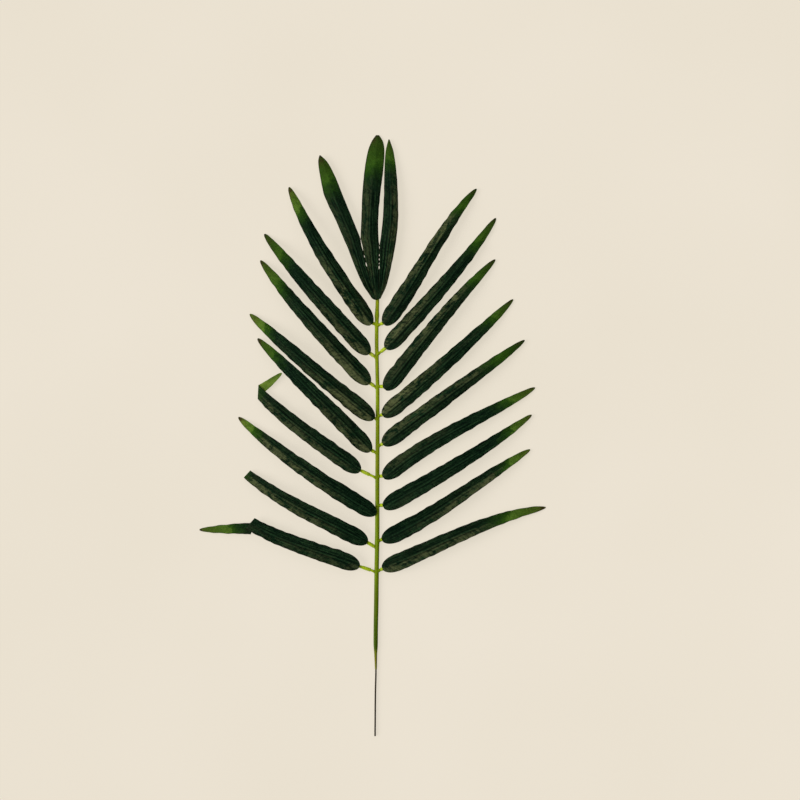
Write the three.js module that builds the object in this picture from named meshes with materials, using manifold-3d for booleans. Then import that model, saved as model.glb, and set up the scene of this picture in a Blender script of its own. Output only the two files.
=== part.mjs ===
// Artificial palm leaf, lying face up on a flat surface. All sizes are in millimetres.
// +Y runs from the bare wire at the foot to the crown, +X is to the right of the face, +Z is up.
// While the pieces are made, the stem's axis is x = 0 and the foot of the wire is y = 0.
// The finished group is then moved so that the origin is under the middle of the leaf.

import * as THREE from 'three';
import { mergeVertices } from 'three/addons/utils/BufferGeometryUtils.js';
import Module from 'manifold-3d';

// Wire: it runs up inside the whole stem and stands out bare below it.
const WIRE_RADIUS = 0.8;
const WIRE_TOP = 436;
const AXIS_HEIGHT = 1.9;

// Stem: one plastic moulding, tapered at its foot, with a thin spigot at the top.
// Each pair is a height above the foot of the wire and the outside radius there.
const STEM_PROFILE = [
  [73, 1.4], [86, 1.5], [93, 2.05], [126, 2.2], [188, 2.15], [194, 2.35], [200, 2.15],
  [276, 1.95], [350, 1.8], [416, 1.8], [421, 2.3], [427, 1.8], [439.5, 1.75],
];
const SPIGOT_RADIUS = 1.1;
const SPIGOT_TOP = 446;
const BORE_RADIUS = 1.12;
const BORE_TOP = 437;
const BEND_START = 175;
const BEND_AT_FOOT = -1.9;
const ROD_STEP = 60;

// Side pegs on the stem, and the socket sleeve at the end of each back rib.
const PEG_RADIUS = 1.0;
const PEG_RISE = 0.12;
const PEG_AIM = 4;
const PEG_IN_SLEEVE = 5.5;
const SLEEVE_RADIUS = 1.8;
const SLEEVE_BORE_RADIUS = 1.4;
const SLEEVE_BORE_DEPTH = 6.5;
const SLEEVE_LENGTH = 9;
const SLEEVE_NOSE_RADIUS = 1.0;
const SLEEVE_NOSE_LENGTH = 2;
const SLEEVE_FROM_AXIS = 2.6;
const CLEARANCE = 0.45;

// Cloth: a strip that is round at the base and pointed at the tip, stiff enough to stand proud.
const CLOTH_THICKNESS = 0.7;
const CLOTH_BASE_HEIGHT = 5.4;
const BASE_ROUND = 17;
const TIP_WIDTH = 1.3;
const TAPER_POWER = 0.45;
const LEFT_CUT = { width: 17.4, swell: 0.36 };
const RIGHT_CUT = { width: 17.8, swell: 0.18 };
const EDGE_FALL = 0.05;
const EDGE_ROLL = 0.012;
const RIPPLE_HEIGHT = 0.55;
const RIPPLE_LENGTH = 26;
const FOLD_RADIUS = 0.65;
const SWAY_FULL = 10.39;

// Back rib: a tapered strap under each leaflet that ends at about two thirds of its length.
const RIB_WIDTH = 1.6;
const RIB_TIP_WIDTH = 0.9;
const RIB_THICKNESS = 0.9;
const RIB_END = 107;

// Leaflets, from the crown down. The columns are: height of the peg's root and of the leaflet's
// base above the foot of the wire, distance of the base from the stem's axis, angle to the stem
// in degrees, straight length from base to tip or fold, sideways bow and sway of the middle
// (positive is towards the crown), height of the arch, height of the tip or fold, and how far
// the long edges hang below the middle line, as a share of the full fall (negative stands up).
const LEFT_LEAFLETS = [
  [411, 412, 6.2, 30.9, 160.2, -4.9, 0.4, 13, 3, 1],
  [378, 382.7, 8.3, 41.2, 159.3, -1.4, 0.1, 14, 0.5, 0.2],
  [348, 352.8, 8, 41.5, 164.7, -2.7, 0.1, 11, 2.2, 1],
  [317, 317.5, 3.6, 49.8, 162.6, -1.4, -0.1, 12, 1.4, 1],
  [283, 285.3, 6.9, 45.1, 159.6, 0.6, 0.2, 14, 3, 0.1],
  [258, 265.3, 17.4, 52.3, 128.9, -2.4, 0.5, 6, 4, 1],
  [221, 222.5, 1.6, 54.9, 168.2, -4.1, 0.1, 9, 0.5, 1],
  [188, 194.1, 10.2, 60.4, 138.5, -3.1, 0.9, 9, 3.2, 0.4],
  [164, 170, 18.1, 68.5, 116.9, -2, 0.9, 2.5, 6.6, 0.2],
];
const RIGHT_LEAFLETS = [
  [411, 411.9, 6.7, 34.2, 164.3, 1.6, -1.4, 9, 2.4, 1],
  [382, 387.9, 8.4, 40.1, 170.8, -3.2, 0.4, 8, 0.5, 0.8],
  [350, 347, 7.5, 40.3, 170.5, 2.7, -0.4, 9, 1.8, 1.1],
  [320, 320.6, 5.4, 48.2, 174.8, -2.4, -0.1, 7, 1.2, 0.4],
  [290, 292.2, 5.4, 53.7, 175.9, 0.4, 0.1, 8, 2.6, 1],
  [260, 258.8, 5.9, 59.3, 176.4, 4.2, 1.2, 7, 1, 0.1],
  [231, 229.3, 5.9, 58.1, 174.7, -2.8, 0.2, 8, 2, -0.5],
  [195, 196.5, 4.6, 58.6, 173.5, -2.6, -1.3, 7, 1.5, -1],
  [165, 168.1, 4.8, 69.6, 172.5, 4.8, -1.6, 7, 0.5, -0.7],
];

// Three left leaflets have a folded tip. cloth is the whole length of the strip. A fold crosses
// the strip at a distance from its base, turned from straight across by a slant in degrees, and
// the rest of the strip goes under or over. tilted is how wide that rest looks from above.
const FOLDED_LEAFLETS = {
  leaflet_left_6: { cloth: 160, tilted: 0.92, folds: [{ at: 128.3, slant: 41, under: true }] },
  leaflet_left_8: { cloth: 162, tilted: 1, folds: [{ at: 137.8, slant: -4, under: true }] },
  leaflet_left_9: {
    cloth: 175.4,
    tilted: 0.8,
    folds: [{ at: 117, slant: -12, under: true }, { at: 123.2, slant: -28, under: false }],
  },
};
// The sleeves of two leaflets stand in sight, so they start this far from the stem's axis.
const SLEEVE_STARTS = { leaflet_left_6: 9, leaflet_left_9: 7.5 };

// Crown: one cloth with three fingers. Each row is a height above the foot of the wire and the
// left and right edges of the finger there. Neighbours share an edge below the end of their slit.
const CROWN_FINGERS = [
  [[438, -5.4, -2], [450, -13.4, -5.4], [468, -21.8, -10.2], [490, -30.3, -15.4],
    [497, -33.5, -16.8], [516, -41.6, -24.4], [540, -52.8, -34.3], [560, -57.4, -42.6],
    [574, -59.3, -50.6], [580, -58.1, -56.9]],
  [[438, -2, 1], [450, -5.4, 1.2], [468, -10.2, 1.6], [490, -15.4, 2], [497, -16.8, 1.1],
    [516, -16.1, 0.7], [540, -15.3, 2.5], [564, -13.2, 5.4], [584, -9.8, 6.9],
    [594, -6, 5.5], [600.4, -1.6, 1.6]],
  [[438, 1, 3], [450, 1.2, 8.6], [468, 1.6, 13.3], [490, 2, 17.6], [497, 3, 18.7],
    [516, 5.2, 20.6], [540, 6.4, 20.4], [564, 6.9, 19], [584, 8.1, 16], [596, 10.9, 12.1]],
];
const CROWN_ROWS = [438, 443, 450, 459, 468, 479, 490, 497, 506, 516, 528, 540, 552, 564, 574];
const SLIT_ENDS = [497, 490];
const CROWN_FOOT = 438;
const CROWN_LENGTH = 162;
const CROWN_TIP_HEIGHT = 1.6;
const CROWN_ARCH = 6;
const CROWN_RIB_END = 545;
const CROWN_SLEEVE_START = 440.4;
const CROWN_SLEEVE_LENGTH = 8.5;
const CROWN_BORE_RADIUS = 1.45;
const CROWN_FALL_FROM = 470;
const CROWN_FALL_FULL = 510;

const LEAF_GREEN = 0x1d2f1c;
const STEM_GREEN = 0x6f8420;
const RIB_GREEN = 0x5d7a22;
const WIRE_GREY = 0x4a4038;

const COLUMNS = [-1, -0.5, 0, 0.5, 1];
const SLEEVE_SIDES = 8;
const WIRE_SIDES = 10;
const STEM_SIDES = 14;
const TURN_ROWS = 5;

const wasm = await Module();
wasm.setup();

// Joining and cutting of closed solids

function toSolid(geometry) {
  const bare = geometry.index ? geometry.toNonIndexed() : geometry.clone();
  bare.deleteAttribute('normal');
  bare.deleteAttribute('uv');
  const merged = mergeVertices(bare, 1e-4);
  return new wasm.Manifold(new wasm.Mesh({
    numProp: 3,
    vertProperties: new Float32Array(merged.attributes.position.array),
    triVerts: new Uint32Array(merged.index.array),
  }));
}

function fromSolid(solid) {
  const mesh = solid.getMesh();
  const geometry = new THREE.BufferGeometry();
  geometry.setAttribute('position', new THREE.BufferAttribute(mesh.vertProperties, 3));
  geometry.setIndex(new THREE.BufferAttribute(mesh.triVerts, 1));
  return geometry;
}

// Small shape functions

function smoothStep(from, to, value) {
  const t = Math.min(Math.max((value - from) / (to - from), 0), 1);
  return t * t * (3 - 2 * t);
}

// A smooth curve through rows of [position, value, value ...], read at one position.
function readRows(rows, position, column) {
  let i = 0;
  while (i < rows.length - 2 && rows[i + 1][0] < position) {
    i += 1;
  }
  const [x0, x1] = [rows[i][0], rows[i + 1][0]];
  const [y0, y1] = [rows[i][column], rows[i + 1][column]];
  const slopeAt = (k) => {
    const before = rows[Math.max(k - 1, 0)];
    const after = rows[Math.min(k + 1, rows.length - 1)];
    return (after[column] - before[column]) / (after[0] - before[0]);
  };
  const t = (position - x0) / (x1 - x0);
  const step = x1 - x0;
  const start = y0 * (1 + 2 * t) * (1 - t) ** 2 + slopeAt(i) * step * t * (1 - t) ** 2;
  const end = y1 * (3 - 2 * t) * t ** 2 + slopeAt(i + 1) * step * t ** 2 * (t - 1);
  return start + end;
}

// A sheet of even thickness on a net of four-sided patches, with walls round its free edges.
// The patches run anticlockwise as seen from the face, and both faces are split alike.
function sheetSolid(points, patches, thickness) {
  const normals = points.map(() => new THREE.Vector3());
  for (const [a, b, c, d] of patches) {
    const across = points[c].clone().sub(points[a]);
    const normal = across.cross(points[d].clone().sub(points[b])).normalize();
    [a, b, c, d].forEach((k) => normals[k].add(normal));
  }
  const half = thickness / 2;
  const count = points.length;
  const face = points.map((p, k) => p.clone().addScaledVector(normals[k].normalize(), half));
  const back = points.map((p, k) => p.clone().addScaledVector(normals[k], -half));
  const edges = new Set();
  const triangles = [];
  for (const [a, b, c, d] of patches) {
    triangles.push(a, b, c, a, c, d);
    triangles.push(a + count, c + count, b + count, a + count, d + count, c + count);
    [[a, b], [b, c], [c, d], [d, a]].forEach(([u, v]) => edges.add(`${u},${v}`));
  }
  for (const edge of edges) {
    const [u, v] = edge.split(',').map(Number);
    if (!edges.has(`${v},${u}`)) {
      triangles.push(v, u, u + count, v, u + count, v + count);
    }
  }
  const geometry = new THREE.BufferGeometry().setFromPoints([...face, ...back]);
  geometry.setIndex(triangles);
  return geometry;
}

// The patches of a plain net of rows and columns.
function netPatches(rows, columns) {
  const patches = [];
  for (let r = 0; r < rows - 1; r += 1) {
    for (let c = 0; c < columns - 1; c += 1) {
      const corner = r * columns + c;
      patches.push([corner, corner + 1, corner + columns + 1, corner + columns]);
    }
  }
  return patches;
}

// Stem and wire: turned shapes whose lower end leans a little to the left

function bendFoot(geometry) {
  const position = geometry.attributes.position;
  for (let i = 0; i < position.count; i += 1) {
    const below = Math.max(BEND_START - position.getY(i), 0) / BEND_START;
    position.setX(i, position.getX(i) + BEND_AT_FOOT * below ** 1.3);
  }
  return geometry;
}

function turned(profile, sides) {
  const outline = profile.map(([height, radius]) => new THREE.Vector2(radius, height));
  outline.unshift(new THREE.Vector2(0, profile[0][0]));
  outline.push(new THREE.Vector2(0, profile[profile.length - 1][0]));
  const geometry = new THREE.LatheGeometry(outline, sides);
  geometry.rotateY(Math.PI / sides);
  return geometry;
}

function rodProfile(from, to, radius) {
  const pieces = Math.ceil((to - from) / ROD_STEP);
  return Array.from({ length: pieces + 1 }, (_, i) => [from + ((to - from) * i) / pieces, radius]);
}

function wireGeometry() {
  const wire = bendFoot(turned(rodProfile(0, WIRE_TOP, WIRE_RADIUS), WIRE_SIDES));
  return wire.translate(0, 0, AXIS_HEIGHT);
}

function stemGeometry(leaflets) {
  const profile = [...STEM_PROFILE, [440, SPIGOT_RADIUS], [SPIGOT_TOP, SPIGOT_RADIUS]];
  let stem = toSolid(bendFoot(turned(profile, STEM_SIDES)).translate(0, 0, AXIS_HEIGHT));
  for (const leaflet of leaflets) {
    stem = stem.add(toSolid(pegGeometry(leaflet)));
  }
  const foot = STEM_PROFILE[0][0];
  const bore = bendFoot(turned(rodProfile(foot - 2, BORE_TOP, BORE_RADIUS), WIRE_SIDES));
  stem = stem.subtract(toSolid(bore.translate(0, 0, AXIS_HEIGHT)));
  const aboveSurface = new THREE.BoxGeometry(100, 900, 20).translate(0, 300, 10);
  return fromSolid(stem.intersect(toSolid(aboveSurface)));
}

// Leaflets

// Works out where a leaflet lies. Sideways offsets are positive towards the crown.
function makeLeaflet(side, number, row) {
  const [pegHeight, foot, reach, angle, length, bow, sway, arch, tipHeight, hang] = row;
  const name = `leaflet_${side < 0 ? 'left' : 'right'}_${number}`;
  const turn = THREE.MathUtils.degToRad(angle);
  const along = new THREE.Vector3(side * Math.sin(turn), Math.cos(turn), 0);
  const up = new THREE.Vector3(-side * Math.cos(turn), Math.sin(turn), 0);
  const base = new THREE.Vector3(side * reach, foot, 0);
  const root = new THREE.Vector3(0, pegHeight, 0);
  const aim = base.clone().addScaledVector(along, PEG_AIM).sub(root);
  const pegReach = aim.length();
  const clearOfStem = SLEEVE_FROM_AXIS * pegReach + SLEEVE_RADIUS * Math.abs(aim.y);
  const sleeveTop = AXIS_HEIGHT + PEG_RISE * pegReach + SLEEVE_RADIUS;
  const folded = FOLDED_LEAFLETS[name] || { cloth: length, tilted: 1, folds: [] };
  return {
    name, side, base, along, up, length, bow, sway, arch, tipHeight, hang, pegReach,
    ...folded,
    cut: side < 0 ? LEFT_CUT : RIGHT_CUT,
    baseHeight: Math.max(sleeveTop + CLEARANCE + CLOTH_THICKNESS / 2, CLOTH_BASE_HEIGHT),
    root: root.setZ(AXIS_HEIGHT),
    peg: aim.clone().setZ(PEG_RISE * pegReach).normalize(),
    sleeveStart: SLEEVE_STARTS[name] || clearOfStem / Math.abs(aim.x),
    phase: 1.7 * number + (side < 0 ? 0.6 : 2.9),
  };
}

// Carries a point of the flat strip round one fold. a runs along the strip, b across it.
function foldPoint(point, fold) {
  const slant = THREE.MathUtils.degToRad(fold.slant);
  const [nearA, nearB] = [Math.cos(slant), -Math.sin(slant)];
  const pastFold = (place) => (place.a - fold.at) * nearA + place.b * nearB;
  const onStrip = pastFold(point.flat);
  if (onStrip <= 0) {
    return point;
  }
  const past = pastFold(point);
  const way = fold.under ? 1 : -1;
  const lift = way * point.lift;
  const halfTurn = Math.PI * FOLD_RADIUS;
  let out = halfTurn - past;
  let height = -2 * FOLD_RADIUS - lift;
  if (onStrip < halfTurn) {
    out = (FOLD_RADIUS + lift) * Math.sin(past / FOLD_RADIUS);
    height = -FOLD_RADIUS + (FOLD_RADIUS + lift) * Math.cos(past / FOLD_RADIUS);
  }
  return {
    a: point.a + (out - past) * nearA,
    b: point.b + (out - past) * nearB,
    lift: way * height,
    flat: point.flat,
  };
}

// Height of the cloth above its middle line: the edges fall away and ripple.
function clothRelief(leaflet, a, b, halfWidth) {
  const edge = Math.abs(b) / halfWidth;
  const wave = Math.sin((2 * Math.PI * a) / RIPPLE_LENGTH + leaflet.phase + (b > 0 ? 1.4 : 0));
  const ripple = RIPPLE_HEIGHT * edge ** 2 * wave * smoothStep(6, 25, a);
  const tipFade = smoothStep(0, 25, leaflet.cloth - a);
  const foldGap = Math.min(...leaflet.folds.map((fold) => Math.abs(a - fold.at - 2)), 100);
  const flatAtFold = smoothStep(4, 16, foldGap);
  const fall = leaflet.hang * (EDGE_FALL * Math.abs(b) + EDGE_ROLL * b * b);
  return (ripple * tipFade - fall) * flatAtFold;
}

// Point of a leaflet's middle surface for a place on the flat strip. The sway is an S curve, and
// SWAY_FULL brings the greatest sideways move of the curve s (1 - s) (1 - 2 s) to one.
function onLeaflet(leaflet, a, b, lift) {
  let point = { a, b, lift, flat: { a, b } };
  for (const fold of [...leaflet.folds].reverse()) {
    point = foldPoint(point, fold);
  }
  const s = point.a / leaflet.length;
  const inside = Math.min(s, 1);
  const past = s - inside;
  const bend = 1 - 2 * inside;
  const sideSlope = leaflet.bow * 4 * bend
    + leaflet.sway * SWAY_FULL * (1 - 6 * inside + 6 * inside * inside);
  const sideways = leaflet.bow * 4 * inside * (1 - inside)
    + leaflet.sway * SWAY_FULL * inside * (1 - inside) * bend + sideSlope * past;
  const fall = leaflet.tipHeight - leaflet.baseHeight;
  const height = leaflet.baseHeight + fall * s
    + leaflet.arch * 4 * inside * (1 - inside) + leaflet.arch * 4 * bend * past;
  const across = leaflet.up.clone().addScaledVector(leaflet.along, -sideSlope / leaflet.length);
  return leaflet.base.clone()
    .addScaledVector(leaflet.along, point.a)
    .addScaledVector(leaflet.up, sideways)
    .addScaledVector(across.normalize(), point.b)
    .setZ(height + point.lift);
}

function clothHalfWidth(leaflet, a) {
  const s = a / leaflet.cloth;
  const roundBase = Math.sqrt(1 - (1 - Math.min((a + 0.35) / BASE_ROUND, 1)) ** 2);
  const { width, swell } = leaflet.cut;
  const lastFold = leaflet.folds.length > 0 ? leaflet.folds[leaflet.folds.length - 1].at : 1000;
  const tilt = 1 + (leaflet.tilted - 1) * smoothStep(lastFold - 6, lastFold + 6, a);
  const across = width * (1 - s) ** TAPER_POWER * (1 + swell * s) * roundBase * tilt;
  return Math.max(across, TIP_WIDTH) / 2;
}

// Rows of the strip: close together at the round base, the folds and the point.
function clothRows(leaflet) {
  const places = [0, 1.2, 3.5, 7.5, 13].map((a) => ({ a, slant: 0 }));
  const folds = leaflet.folds.map((fold) => ({ ...fold, end: fold.at + Math.PI * FOLD_RADIUS }));
  const stops = [...folds.map((fold) => fold.at), leaflet.cloth - 14];
  let from = 13;
  stops.forEach((stop, k) => {
    const fold = folds[k];
    const before = folds[k - 1];
    const steps = Math.max(Math.round((stop - from) / 10), 1);
    for (let i = 1; i <= steps; i += 1) {
      const a = from + ((stop - from) * i) / steps;
      const nearNext = fold ? smoothStep(fold.at - 20, fold.at, a) * fold.slant : 0;
      const nearLast = before ? (1 - smoothStep(before.end, before.end + 18, a)) : 0;
      places.push({ a, slant: nearNext + (fold && before ? 0 : nearLast * (before?.slant ?? 0)) });
    }
    if (fold) {
      for (let i = 1; i <= TURN_ROWS; i += 1) {
        places.push({ a: fold.at + ((fold.end - fold.at) * i) / TURN_ROWS, slant: fold.slant });
      }
      from = fold.end;
    }
  });
  [9, 4.5, 1.5, 0].forEach((left) => places.push({ a: leaflet.cloth - left, slant: 0 }));
  return places;
}

function leafletGeometry(leaflet) {
  const rows = clothRows(leaflet);
  const points = [];
  for (const { a, slant } of rows) {
    const halfWidth = clothHalfWidth(leaflet, a);
    for (const column of COLUMNS) {
      const b = -leaflet.side * column * halfWidth;
      const along = a + b * Math.tan(THREE.MathUtils.degToRad(slant));
      points.push(onLeaflet(leaflet, along, b, clothRelief(leaflet, along, b, halfWidth)));
    }
  }
  return sheetSolid(points, netPatches(rows.length, COLUMNS.length), CLOTH_THICKNESS);
}

// Pegs, sleeves and back ribs

function aimed(geometry, way, from) {
  const turn = new THREE.Quaternion().setFromUnitVectors(new THREE.Vector3(0, 1, 0), way);
  return geometry.applyQuaternion(turn).translate(from.x, from.y, from.z);
}

function pegGeometry(leaflet) {
  const length = leaflet.sleeveStart + PEG_IN_SLEEVE;
  const peg = new THREE.CylinderGeometry(PEG_RADIUS, PEG_RADIUS, length, 8);
  return aimed(peg.translate(0, length / 2, 0), leaflet.peg, leaflet.root);
}

function sleeveGeometry(radius, boreRadius, boreDepth, length) {
  const outline = [
    [0, boreDepth], [boreRadius, boreDepth], [boreRadius, 0], [radius, 0],
    [radius, length - SLEEVE_NOSE_LENGTH], [SLEEVE_NOSE_RADIUS, length], [0, length],
  ];
  const points = outline.map(([x, y]) => new THREE.Vector2(x, y));
  return new THREE.LatheGeometry(points, SLEEVE_SIDES);
}

// A strap of two edges along a line of middle points, narrower at its end.
function strapSolid(middle, thickness) {
  const points = [];
  middle.forEach((point, i) => {
    const next = middle[Math.min(i + 1, middle.length - 1)];
    const last = middle[Math.max(i - 1, 0)];
    const way = next.clone().sub(last).setZ(0).normalize();
    const share = i / (middle.length - 1);
    const half = (RIB_WIDTH + (RIB_TIP_WIDTH - RIB_WIDTH) * share) / 2;
    const across = new THREE.Vector3(way.y, -way.x, 0);
    points.push(point.clone().addScaledVector(across, -half));
    points.push(point.clone().addScaledVector(across, half));
  });
  return sheetSolid(points, netPatches(middle.length, 2), thickness);
}

// The rib leaves its sleeve in line with the peg, then runs under the middle of the leaflet.
function ribGeometry(leaflet) {
  const sleeve = sleeveGeometry(
    SLEEVE_RADIUS, SLEEVE_BORE_RADIUS, SLEEVE_BORE_DEPTH, SLEEVE_LENGTH,
  );
  const mouth = leaflet.root.clone().addScaledVector(leaflet.peg, leaflet.sleeveStart);
  const seated = aimed(sleeve, leaflet.peg, mouth);
  const pegEnd = PEG_AIM - leaflet.pegReach;
  const start = leaflet.sleeveStart + SLEEVE_BORE_DEPTH + 1 + pegEnd;
  const below = CLOTH_THICKNESS / 2 + CLEARANCE + RIB_THICKNESS / 2;
  const middle = [0, 0.03, 0.06, 0.13, 0.27, 0.47, 0.72, 1].map((share) => {
    const place = start + (RIB_END - start) * share;
    const point = onLeaflet(leaflet, place, 0, -below);
    const inLine = leaflet.root.clone().addScaledVector(leaflet.peg, place - pegEnd);
    const bendAway = smoothStep(start + 1, start + 9, place);
    return inLine.setZ(inLine.z + 0.2).lerp(point, bendAway);
  });
  return fromSolid(toSolid(seated).add(toSolid(strapSolid(middle, RIB_THICKNESS))));
}

// Crown

function crownHeight(y) {
  const s = (y - CROWN_FOOT) / CROWN_LENGTH;
  const level = CLOTH_BASE_HEIGHT + (CROWN_TIP_HEIGHT - CLOTH_BASE_HEIGHT) * s;
  return level + CROWN_ARCH * 4 * s * (1 - s);
}

function crownGeometry() {
  const points = [];
  const patches = [];
  const nets = CROWN_FINGERS.map((edges) => {
    const tip = edges[edges.length - 1][0];
    const rows = [...CROWN_ROWS.filter((y) => y < tip - 4), tip];
    if (tip - rows[rows.length - 2] > 12) {
      rows.splice(-1, 0, tip - 14, tip - 6);
    }
    return { edges, rows, index: [] };
  });
  nets.forEach((net, finger) => {
    net.rows.forEach((y, r) => {
      const left = readRows(net.edges, y, 1);
      const right = readRows(net.edges, y, 2);
      const shared = finger > 0 && y <= SLIT_ENDS[finger - 1];
      net.index.push(COLUMNS.map((column, c) => {
        if (shared && c === 0) {
          return nets[finger - 1].index[r][COLUMNS.length - 1];
        }
        const b = (column * (right - left)) / 2;
        const spread = smoothStep(CROWN_FALL_FROM, CROWN_FALL_FULL, y);
        const fall = (EDGE_FALL * Math.abs(b) + EDGE_ROLL * b * b) * spread;
        points.push(new THREE.Vector3((left + right) / 2 + b, y, crownHeight(y) - fall));
        return points.length - 1;
      }));
      if (r > 0) {
        const [low, high] = [net.index[r - 1], net.index[r]];
        for (let c = 0; c < COLUMNS.length - 1; c += 1) {
          patches.push([low[c], low[c + 1], high[c + 1], high[c]]);
        }
      }
    });
  });
  return sheetSolid(points, patches, CLOTH_THICKNESS);
}

function crownRibGeometry() {
  const sleeve = sleeveGeometry(
    SLEEVE_RADIUS, CROWN_BORE_RADIUS, SLEEVE_BORE_DEPTH, CROWN_SLEEVE_LENGTH,
  );
  let rib = toSolid(sleeve.translate(0, CROWN_SLEEVE_START, AXIS_HEIGHT));
  const start = CROWN_SLEEVE_START + SLEEVE_BORE_DEPTH + 0.7;
  const below = CLOTH_THICKNESS / 2 + CLEARANCE + RIB_THICKNESS / 2;
  CROWN_FINGERS.forEach((edges, finger) => {
    const lower = finger === 1 ? 0.2 : 0;
    const middle = [start, 451, 456, 466, 478, 498, 522, CROWN_RIB_END].map((y) => {
      const centre = (readRows(edges, y, 1) + readRows(edges, y, 2)) / 2;
      const spread = smoothStep(start, start + 26, y);
      const leaveSleeve = smoothStep(start + 1, start + 8, y);
      const cloth = crownHeight(y) - below - lower;
      const height = AXIS_HEIGHT + 0.3 + (cloth - AXIS_HEIGHT - 0.3) * leaveSleeve;
      return new THREE.Vector3(centre * spread, y, height);
    });
    rib = rib.add(toSolid(strapSolid(middle, RIB_THICKNESS)));
  });
  return fromSolid(rib);
}

// The whole leaf

const leaflets = [
  ...LEFT_LEAFLETS.map((row, i) => makeLeaflet(-1, i + 1, row)),
  ...RIGHT_LEAFLETS.map((row, i) => makeLeaflet(1, i + 1, row)),
];

const leaf = new THREE.Group();

function addPiece(name, geometry, color, roughness, metalness) {
  const material = new THREE.MeshStandardMaterial({ color, roughness, metalness });
  const mesh = new THREE.Mesh(geometry, material);
  mesh.name = name;
  leaf.add(mesh);
}

addPiece('stem_wire', wireGeometry(), WIRE_GREY, 0.5, 0.8);
addPiece('stem', stemGeometry(leaflets), STEM_GREEN, 0.45, 0);
for (const leaflet of leaflets) {
  addPiece(leaflet.name, leafletGeometry(leaflet), LEAF_GREEN, 0.75, 0);
  addPiece(`${leaflet.name}_rib`, ribGeometry(leaflet), RIB_GREEN, 0.5, 0);
}
addPiece('crown', crownGeometry(), LEAF_GREEN, 0.75, 0);
addPiece('crown_rib', crownRibGeometry(), RIB_GREEN, 0.5, 0);

const extent = new THREE.Box3().setFromObject(leaf);
const centre = extent.getCenter(new THREE.Vector3());
leaf.position.set(-centre.x, -centre.y, 0);
leaf.updateMatrixWorld(true);

export default leaf;
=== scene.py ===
"""Artificial palm leaf lying face up on a pale table, seen straight from above in soft light.

The leaf is put together from the foot up: bare wire, moulded stem with side pegs, plastic back
ribs pushed on the pegs, cloth leaflets glued on the ribs, and a three-fingered cloth crown.
Lengths are in millimetres until a point is placed, where they become metres.
"""
import math
from types import SimpleNamespace

import bpy
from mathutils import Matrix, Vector, noise


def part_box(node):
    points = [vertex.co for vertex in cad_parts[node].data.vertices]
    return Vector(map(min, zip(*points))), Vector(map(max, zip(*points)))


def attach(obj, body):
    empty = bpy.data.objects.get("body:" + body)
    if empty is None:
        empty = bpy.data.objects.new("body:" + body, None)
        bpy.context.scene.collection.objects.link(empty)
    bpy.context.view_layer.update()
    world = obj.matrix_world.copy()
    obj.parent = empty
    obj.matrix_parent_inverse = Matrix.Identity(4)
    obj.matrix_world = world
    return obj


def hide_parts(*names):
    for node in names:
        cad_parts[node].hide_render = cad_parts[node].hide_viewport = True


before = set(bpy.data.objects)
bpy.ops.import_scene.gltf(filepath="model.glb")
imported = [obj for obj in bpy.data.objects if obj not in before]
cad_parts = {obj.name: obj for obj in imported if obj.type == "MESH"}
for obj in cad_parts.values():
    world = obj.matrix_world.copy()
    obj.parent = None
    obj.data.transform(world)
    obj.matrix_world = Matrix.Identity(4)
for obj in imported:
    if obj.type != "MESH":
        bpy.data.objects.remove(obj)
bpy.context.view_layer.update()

# ------------------------------
# Wire foot. One steel wire 1.6 mm thick runs up inside the whole stem and stands out bare below
# it. It was snipped off, so its end is slightly pinched, and its skin is dark, dull drawn steel.

MM = 0.001
WIRE_RADIUS = 0.8
WIRE_TOP = 436.0
WIRE_SIDES = 24
WIRE_STEPS = 99
AXIS_HEIGHT = 1.9
ALONG_STEM = Vector((0, 1, 0))

# The snipped end, as (height above the foot, radius), and how far up and how flat it is pinched.
SNIPPED_END = ((0, 0.42), (0.15, 0.66), (0.5, 0.78), (1.4, WIRE_RADIUS))
PINCHED_LENGTH = 1.2
PINCHED_HEIGHT = 0.72

# The bare wire waves a little from side to side. The wave dies out inside the stem.
KINK_SIZE = 0.09
KINK_LENGTH = 9.5
KINK_GROWS = (0, 20)
KINK_FADES = (55, 73)

# How far the wire and stem stray sideways, as (height above the wire's foot, distance).
STRAY = (
    (-30, -2.6), (0, -2.45), (22, -2.35), (46, -1.95), (66, -1.6), (82, -1.8), (100, -1.8),
    (118, -1.55), (130, -1.3), (150, -1.05), (170, -0.8), (190, -0.45), (210, -0.25),
    (260, -0.15), (300, 0.05), (335, 0.1), (352, 0), (372, -0.45), (394, -0.85), (416, -0.7),
    (436, -0.1), (460, 0.0),
)

# The CAD's wire has flat sides, and its widest corners stand this far round from the X axis.
CAD_WIRE_CORNER = math.radians(18)
wire_low, wire_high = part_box("stem_wire")
foot_y = wire_low.y / MM
axis_x = wire_high.x / MM - WIRE_RADIUS * math.cos(CAD_WIRE_CORNER)


def in_frame(x, y, z):
    """A point given in millimetres from the stem's axis and the wire's foot, in the row frame."""
    return Vector((x + axis_x, y + foot_y, z)) * MM


def read_rows(rows, position, column=1):
    """A smooth curve through rows of (position, value, value ...), read at one position."""
    i = 0
    while i < len(rows) - 2 and rows[i + 1][0] < position:
        i += 1
    step = rows[i + 1][0] - rows[i][0]
    t = (position - rows[i][0]) / step

    def slope(k):
        before, after = rows[max(k - 1, 0)], rows[min(k + 1, len(rows) - 1)]
        return (after[column] - before[column]) / (after[0] - before[0])

    start = rows[i][column] * (1 + 2 * t) * (1 - t) ** 2 + slope(i) * step * t * (1 - t) ** 2
    end = rows[i + 1][column] * (3 - 2 * t) * t**2 + slope(i + 1) * step * t**2 * (t - 1)
    return start + end


def lean(y):
    """How far the wire and stem stand off their straight axis at a height above the foot."""
    return read_rows(STRAY, y)


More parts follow.
